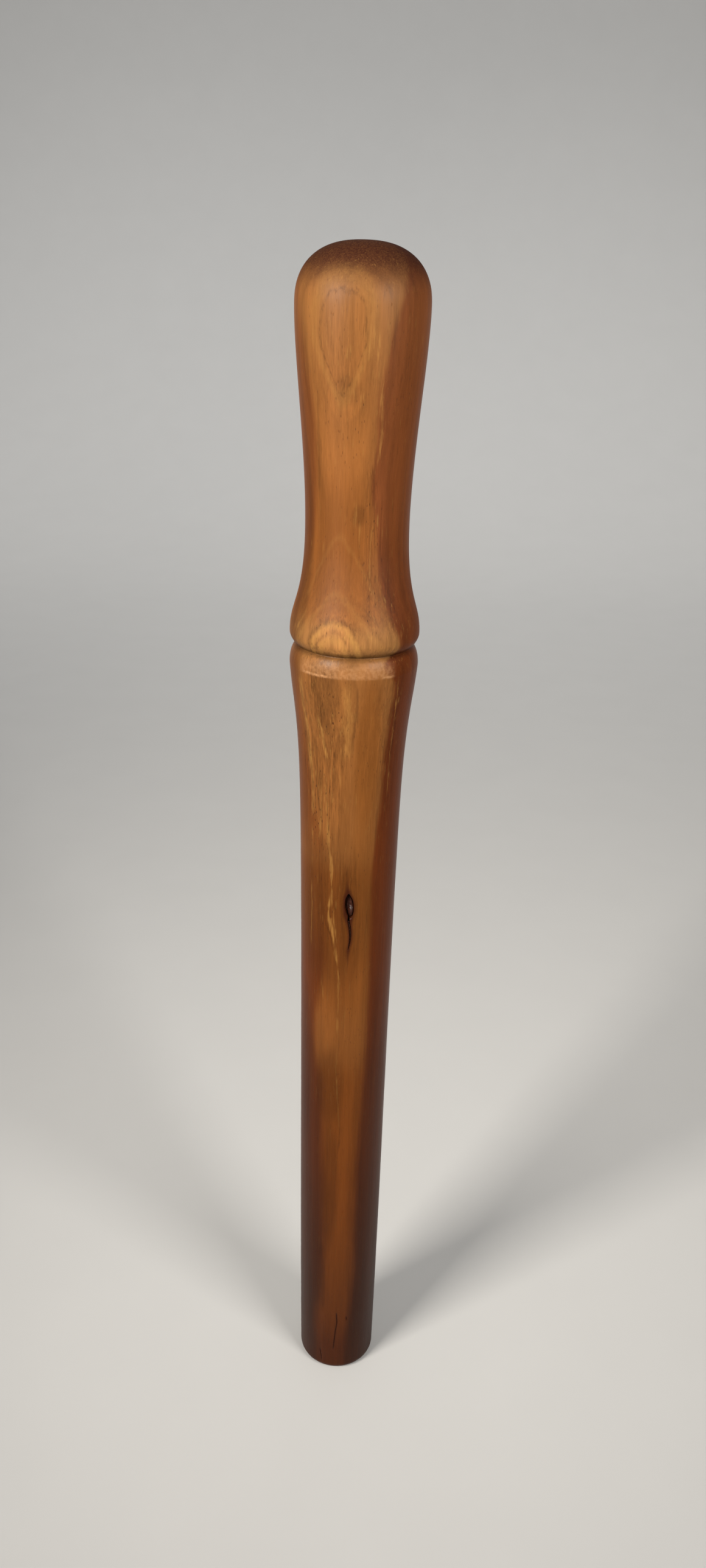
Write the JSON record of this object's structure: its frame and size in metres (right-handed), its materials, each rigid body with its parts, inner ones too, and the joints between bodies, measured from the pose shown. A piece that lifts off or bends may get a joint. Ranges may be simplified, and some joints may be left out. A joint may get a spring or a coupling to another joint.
{
  "type": "turned wooden mallet",
  "caption": "One-piece turned wooden mallet with a domed, waisted grip, a grooved collar and a long tapering striking shaft.",
  "frame": {"origin": "centre of the flat end of the striking shaft, which is the lowest point of the mallet stood upright", "axes": "+Z along the turning axis from the flat end up to the domed grip, -Y towards the face that shows the knot, +X to the right of that face"},
  "size_m": [0.0432, 0.0432, 0.44],
  "materials": {
    "oiled_wood": "satin",
    "knot_wood": "gloss",
    "bark": "matte"
  },
  "bodies": {
    "root": {"turned_body": "oiled_wood", "knot": "knot_wood", "bark_pocket": "bark"}
  },
  "joints": []
}
